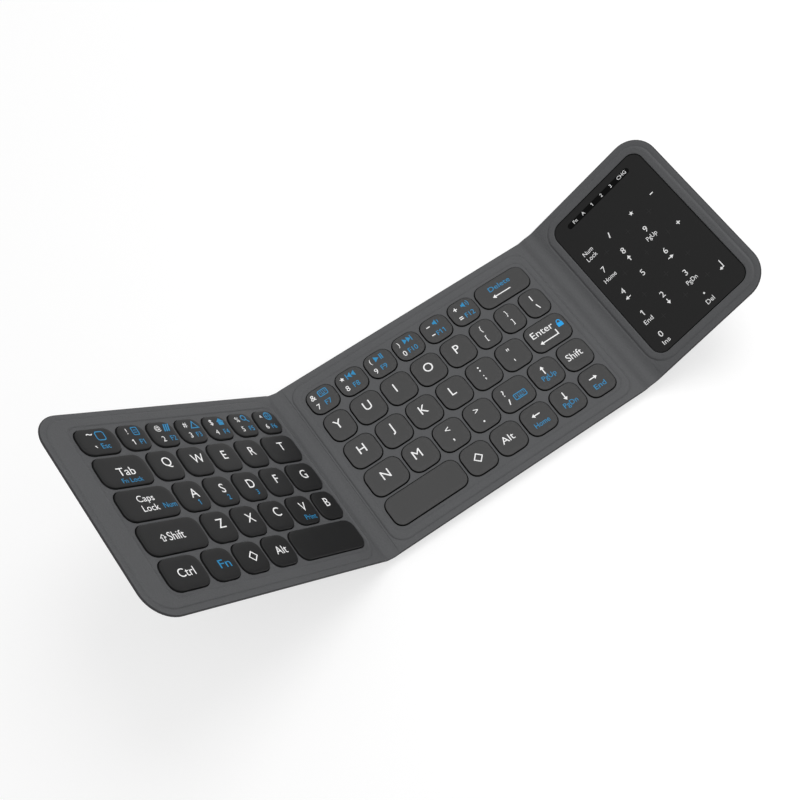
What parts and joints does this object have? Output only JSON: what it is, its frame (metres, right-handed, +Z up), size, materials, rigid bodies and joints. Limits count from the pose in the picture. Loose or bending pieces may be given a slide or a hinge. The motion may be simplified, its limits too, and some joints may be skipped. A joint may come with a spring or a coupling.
{
  "type": "folding keyboard",
  "caption": "Pocket keyboard in soft grey leather: a key wing and a touch number pad fold over a middle key panel along narrow double creases.",
  "frame": {"origin": "centre of the middle panel's flat underside, on the surface that it lies on", "axes": "+X along the keyboard towards the touch panel on the typist's right, +Y away from the typist, +Z up. At rest the middle panel lies flat, the left wing is raised 45 degrees and the touch panel 34.35 degrees, as when it is being opened."},
  "size_m": [0.3084, 0.0974, 0.1035],
  "materials": {
    "grey_leather": "matte",
    "keycap_plastic": "matte",
    "black_plastic": "matte",
    "steel": "satin",
    "circuit_film": "gloss",
    "silicone": "satin",
    "battery_foil": "satin",
    "circuit_board": "satin",
    "led": "gloss",
    "touch_glass": "satin",
    "smoked_window": "gloss"
  },
  "bodies": {
    "middle_panel": {"back_skin_middle": "grey_leather", "tray_middle": "black_plastic", "backplate_middle": "steel", "membrane_middle": "circuit_film", "dome_sheet_middle": "silicone", "scissor_clips_middle": "black_plastic", "key_frame_middle": "black_plastic", "face_skin_middle": "grey_leather"},
    "left_strip": {"fold_strip_left": "grey_leather", "ribbon_left": "circuit_film"},
    "left_wing": {"back_skin_left": "grey_leather", "tray_left": "black_plastic", "backplate_left": "steel", "membrane_left": "circuit_film", "dome_sheet_left": "silicone", "scissor_clips_left": "black_plastic", "key_frame_left": "black_plastic", "face_skin_left": "grey_leather", "magnets_left": "steel"},
    "right_strip": {"fold_strip_right": "grey_leather", "ribbon_right": "circuit_film"},
    "right_wing": {"back_skin_right": "grey_leather", "tray_right": "black_plastic", "battery": "battery_foil", "touch_board": "circuit_board", "status_leds": "led", "touch_glass": "touch_glass", "indicator_window": "smoked_window", "face_skin_right": "grey_leather", "charge_port": "steel", "magnets_right": "steel"},
    "key_escape": {"key_escape": "keycap_plastic"},
    "keys_digits_left": {"keys_digits_left": "keycap_plastic"},
    "key_tab": {"key_tab": "keycap_plastic"},
    "keys_upper_left": {"keys_upper_left": "keycap_plastic"},
    "key_caps_lock": {"key_caps_lock": "keycap_plastic"},
    "key_a": {"key_a": "keycap_plastic"},
    "key_s": {"key_s": "keycap_plastic"},
    "key_d": {"key_d": "keycap_plastic"},
    "key_f": {"key_f": "keycap_plastic"},
    "key_g": {"key_g": "keycap_plastic"},
    "key_shift_left": {"key_shift_left": "keycap_plastic"},
    "keys_lower_left": {"keys_lower_left": "keycap_plastic"},
    "key_control": {"key_control": "keycap_plastic"},
    "keys_modifiers_left": {"keys_modifiers_left": "keycap_plastic"},
    "key_space_left": {"key_space_left": "keycap_plastic"},
    "keys_digits_middle": {"keys_digits_middle": "keycap_plastic"},
    "key_delete": {"key_delete": "keycap_plastic"},
    "keys_upper_middle": {"keys_upper_middle": "keycap_plastic"},
    "keys_punctuation": {"keys_punctuation": "keycap_plastic"},
    "key_h": {"key_h": "keycap_plastic"},
    "key_j": {"key_j": "keycap_plastic"},
    "key_k": {"key_k": "keycap_plastic"},
    "key_l": {"key_l": "keycap_plastic"},
    "key_enter": {"key_enter": "keycap_plastic"},
    "keys_n_m": {"keys_n_m": "keycap_plastic"},
    "key_shift_right": {"key_shift_right": "keycap_plastic"},
    "keys_arrows": {"keys_arrows": "keycap_plastic"},
    "keys_modifiers_middle": {"keys_modifiers_middle": "keycap_plastic"},
    "key_space_middle": {"key_space_middle": "keycap_plastic"}
  },
  "joints": [
    {"name": "left_fold_inner", "type": "hinge", "parent": "middle_panel", "child": "left_strip", "pos_m": [-0.0716, 0, 0.0043], "axis": [0, 1, 0], "range_deg": [-22.5, 67.5], "deforming": ["ribbon_left"]},
    {"name": "left_fold_outer", "type": "hinge", "parent": "left_strip", "child": "left_wing", "pos_m": [-0.07493, 0, 0.00568], "axis": [0, 1, 0], "range_deg": [-22.5, 67.5], "deforming": ["ribbon_left"]},
    {"name": "right_fold_inner", "type": "hinge", "parent": "middle_panel", "child": "right_strip", "pos_m": [0.0685, 0, 0.0043], "axis": [0, -1, 0], "range_deg": [-17.18, 72.83], "deforming": ["ribbon_right"]},
    {"name": "right_fold_outer", "type": "hinge", "parent": "right_strip", "child": "right_wing", "pos_m": [0.07748, 0, 0.00708], "axis": [0, -1, 0], "range_deg": [-17.18, 72.83], "deforming": ["ribbon_right"]},
    {"name": "press_key_escape", "type": "slide", "parent": "left_wing", "child": "key_escape", "axis": [-0.7071, 0, -0.7071], "range_m": [0, 0.0011], "stiffness_N_per_m": 300, "springref_m": -0.0005, "deforming": ["dome_sheet_left", "scissor_clips_left"]},
    {"name": "press_keys_digits_left", "type": "slide", "parent": "left_wing", "child": "keys_digits_left", "axis": [-0.7071, 0, -0.7071], "range_m": [0, 0.0011], "stiffness_N_per_m": 300, "springref_m": -0.0005, "deforming": ["dome_sheet_left", "scissor_clips_left"]},
    {"name": "press_key_tab", "type": "slide", "parent": "left_wing", "child": "key_tab", "axis": [-0.7071, 0, -0.7071], "range_m": [0, 0.0011], "stiffness_N_per_m": 300, "springref_m": -0.0005, "deforming": ["dome_sheet_left", "scissor_clips_left"]},
    {"name": "press_keys_upper_left", "type": "slide", "parent": "left_wing", "child": "keys_upper_left", "axis": [-0.7071, 0, -0.7071], "range_m": [0, 0.0011], "stiffness_N_per_m": 300, "springref_m": -0.0005, "deforming": ["dome_sheet_left", "scissor_clips_left"]},
    {"name": "press_key_caps_lock", "type": "slide", "parent": "left_wing", "child": "key_caps_lock", "axis": [-0.7071, 0, -0.7071], "range_m": [0, 0.0011], "stiffness_N_per_m": 300, "springref_m": -0.0005, "deforming": ["dome_sheet_left", "scissor_clips_left"]},
    {"name": "press_key_a", "type": "slide", "parent": "left_wing", "child": "key_a", "axis": [-0.7071, 0, -0.7071], "range_m": [0, 0.0011], "stiffness_N_per_m": 300, "springref_m": -0.0005, "deforming": ["dome_sheet_left", "scissor_clips_left"]},
    {"name": "press_key_s", "type": "slide", "parent": "left_wing", "child": "key_s", "axis": [-0.7071, 0, -0.7071], "range_m": [0, 0.0011], "stiffness_N_per_m": 300, "springref_m": -0.0005, "deforming": ["dome_sheet_left", "scissor_clips_left"]},
    {"name": "press_key_d", "type": "slide", "parent": "left_wing", "child": "key_d", "axis": [-0.7071, 0, -0.7071], "range_m": [0, 0.0011], "stiffness_N_per_m": 300, "springref_m": -0.0005, "deforming": ["dome_sheet_left", "scissor_clips_left"]},
    {"name": "press_key_f", "type": "slide", "parent": "left_wing", "child": "key_f", "axis": [-0.7071, 0, -0.7071], "range_m": [0, 0.0011], "stiffness_N_per_m": 300, "springref_m": -0.0005, "deforming": ["dome_sheet_left", "scissor_clips_left"]},
    {"name": "press_key_g", "type": "slide", "parent": "left_wing", "child": "key_g", "axis": [-0.7071, 0, -0.7071], "range_m": [0, 0.0011], "stiffness_N_per_m": 300, "springref_m": -0.0005, "deforming": ["dome_sheet_left", "scissor_clips_left"]},
    {"name": "press_key_shift_left", "type": "slide", "parent": "left_wing", "child": "key_shift_left", "axis": [-0.7071, 0, -0.7071], "range_m": [0, 0.0011], "stiffness_N_per_m": 300, "springref_m": -0.0005, "deforming": ["dome_sheet_left", "scissor_clips_left"]},
    {"name": "press_keys_lower_left", "type": "slide", "parent": "left_wing", "child": "keys_lower_left", "axis": [-0.7071, 0, -0.7071], "range_m": [0, 0.0011], "stiffness_N_per_m": 300, "springref_m": -0.0005, "deforming": ["dome_sheet_left", "scissor_clips_left"]},
    {"name": "press_key_control", "type": "slide", "parent": "left_wing", "child": "key_control", "axis": [-0.7071, 0, -0.7071], "range_m": [0, 0.0011], "stiffness_N_per_m": 300, "springref_m": -0.0005, "deforming": ["dome_sheet_left", "scissor_clips_left"]},
    {"name": "press_keys_modifiers_left", "type": "slide", "parent": "left_wing", "child": "keys_modifiers_left", "axis": [-0.7071, 0, -0.7071], "range_m": [0, 0.0011], "stiffness_N_per_m": 300, "springref_m": -0.0005, "deforming": ["dome_sheet_left", "scissor_clips_left"]},
    {"name": "press_key_space_left", "type": "slide", "parent": "left_wing", "child": "key_space_left", "axis": [-0.7071, 0, -0.7071], "range_m": [0, 0.0011], "stiffness_N_per_m": 300, "springref_m": -0.0005, "deforming": ["dome_sheet_left", "scissor_clips_left"]},
    {"name": "press_keys_digits_middle", "type": "slide", "parent": "middle_panel", "child": "keys_digits_middle", "axis": [0, 0, -1], "range_m": [0, 0.0011], "stiffness_N_per_m": 300, "springref_m": -0.0005, "deforming": ["dome_sheet_middle", "scissor_clips_middle"]},
    {"name": "press_key_delete", "type": "slide", "parent": "middle_panel", "child": "key_delete", "axis": [0, 0, -1], "range_m": [0, 0.0011], "stiffness_N_per_m": 300, "springref_m": -0.0005, "deforming": ["dome_sheet_middle", "scissor_clips_middle"]},
    {"name": "press_keys_upper_middle", "type": "slide", "parent": "middle_panel", "child": "keys_upper_middle", "axis": [0, 0, -1], "range_m": [0, 0.0011], "stiffness_N_per_m": 300, "springref_m": -0.0005, "deforming": ["dome_sheet_middle", "scissor_clips_middle"]},
    {"name": "press_keys_punctuation", "type": "slide", "parent": "middle_panel", "child": "keys_punctuation", "axis": [0, 0, -1], "range_m": [0, 0.0011], "stiffness_N_per_m": 300, "springref_m": -0.0005, "deforming": ["dome_sheet_middle", "scissor_clips_middle"]},
    {"name": "press_key_h", "type": "slide", "parent": "middle_panel", "child": "key_h", "axis": [0, 0, -1], "range_m": [0, 0.0011], "stiffness_N_per_m": 300, "springref_m": -0.0005, "deforming": ["dome_sheet_middle", "scissor_clips_middle"]},
    {"name": "press_key_j", "type": "slide", "parent": "middle_panel", "child": "key_j", "axis": [0, 0, -1], "range_m": [0, 0.0011], "stiffness_N_per_m": 300, "springref_m": -0.0005, "deforming": ["dome_sheet_middle", "scissor_clips_middle"]},
    {"name": "press_key_k", "type": "slide", "parent": "middle_panel", "child": "key_k", "axis": [0, 0, -1], "range_m": [0, 0.0011], "stiffness_N_per_m": 300, "springref_m": -0.0005, "deforming": ["dome_sheet_middle", "scissor_clips_middle"]},
    {"name": "press_key_l", "type": "slide", "parent": "middle_panel", "child": "key_l", "axis": [0, 0, -1], "range_m": [0, 0.0011], "stiffness_N_per_m": 300, "springref_m": -0.0005, "deforming": ["dome_sheet_middle", "scissor_clips_middle"]},
    {"name": "press_key_enter", "type": "slide", "parent": "middle_panel", "child": "key_enter", "axis": [0, 0, -1], "range_m": [0, 0.0011], "stiffness_N_per_m": 300, "springref_m": -0.0005, "deforming": ["dome_sheet_middle", "scissor_clips_middle"]},
    {"name": "press_keys_n_m", "type": "slide", "parent": "middle_panel", "child": "keys_n_m", "axis": [0, 0, -1], "range_m": [0, 0.0011], "stiffness_N_per_m": 300, "springref_m": -0.0005, "deforming": ["dome_sheet_middle", "scissor_clips_middle"]},
    {"name": "press_key_shift_right", "type": "slide", "parent": "middle_panel", "child": "key_shift_right", "axis": [0, 0, -1], "range_m": [0, 0.0011], "stiffness_N_per_m": 300, "springref_m": -0.0005, "deforming": ["dome_sheet_middle", "scissor_clips_middle"]},
    {"name": "press_keys_arrows", "type": "slide", "parent": "middle_panel", "child": "keys_arrows", "axis": [0, 0, -1], "range_m": [0, 0.0011], "stiffness_N_per_m": 300, "springref_m": -0.0005, "deforming": ["dome_sheet_middle", "scissor_clips_middle"]},
    {"name": "press_keys_modifiers_middle", "type": "slide", "parent": "middle_panel", "child": "keys_modifiers_middle", "axis": [0, 0, -1], "range_m": [0, 0.0011], "stiffness_N_per_m": 300, "springref_m": -0.0005, "deforming": ["dome_sheet_middle", "scissor_clips_middle"]},
    {"name": "press_key_space_middle", "type": "slide", "parent": "middle_panel", "child": "key_space_middle", "axis": [0, 0, -1], "range_m": [0, 0.0011], "stiffness_N_per_m": 300, "springref_m": -0.0005, "deforming": ["dome_sheet_middle", "scissor_clips_middle"]}
  ],
  "couplings": [
    {"joint": "left_fold_outer", "follows": "left_fold_inner", "ratio": 1},
    {"joint": "right_fold_outer", "follows": "right_fold_inner", "ratio": 1}
  ]
}
